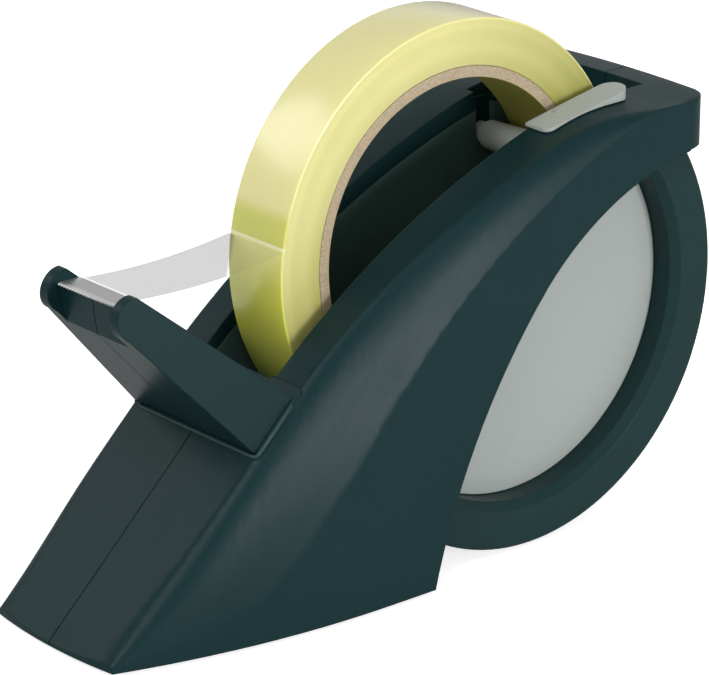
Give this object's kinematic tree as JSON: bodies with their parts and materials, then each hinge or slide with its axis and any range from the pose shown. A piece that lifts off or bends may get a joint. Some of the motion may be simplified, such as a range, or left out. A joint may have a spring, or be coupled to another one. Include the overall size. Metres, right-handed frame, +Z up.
{
  "type": "desk tape dispenser",
  "caption": "Weighted desk tape dispenser: a roll sits in a curved channel, its tape crosses to a toothed blade on a forked arm, and a round drawer slides out behind.",
  "frame": {"origin": "middle of the footprint box on the desk surface, under the middle of the whole dispenser", "axes": "+X across the dispenser to the side with the light grey axle grip, +Y from the ramp's nose towards the rear of the drawer, +Z up"},
  "size_m": [0.066, 0.1796, 0.1276],
  "materials": {
    "body": "satin dark teal-grey moulding",
    "well": "fine matt dark teal-grey moulding",
    "drawer": "satin dark teal-grey moulding",
    "base": "matt dark moulding",
    "disc": "satin light grey disc",
    "axle": "satin light grey moulding",
    "blade_steel": "bright thin blade",
    "spring_steel": "thin spring leaf",
    "cardboard": "plain pressed cardboard",
    "tape": "clear adhesive tape wound many turns",
    "tape_film": "clear adhesive film",
    "cast": "rough cast weight",
    "rubber": "matt rubber pad",
    "screw": "zinc plated steel"
  },
  "bodies": {
    "body": {"right_shell": "body", "left_shell": "body", "roll_well": "well", "cutter_blade": "blade_steel", "drawer_runner_right": "well", "drawer_runner_left": "well", "drawer_catch": "spring_steel", "base_plate": "base", "ballast": "cast", "front_foot_left": "rubber", "rear_foot_left": "rubber", "front_foot_right": "rubber", "rear_foot_right": "rubber", "shell_screws": "screw", "base_screws": "screw"},
    "axle": {"roll_axle": "axle", "tape_strip": "tape_film"},
    "roll": {"tape_core": "cardboard", "tape_winding": "tape"},
    "drawer": {"drawer_ring_right": "drawer", "drawer_ring_left": "drawer", "drawer_disc_right": "disc", "drawer_disc_left": "disc", "drawer_tray": "drawer"}
  },
  "joints": [
    {"name": "drawer_slide", "type": "slide", "parent": "body", "child": "drawer", "axis": [0, 1, 0], "range_m": [0, 0.045]},
    {"name": "axle_lift", "type": "slide", "parent": "body", "child": "axle", "axis": [0, 0, 1], "range_m": [0, 0.1]},
    {"name": "roll_spin", "type": "hinge", "parent": "axle", "child": "roll", "pos_m": [0, 0.0224, 0.0755], "axis": [1, 0, 0], "continuous": true}
  ]
}
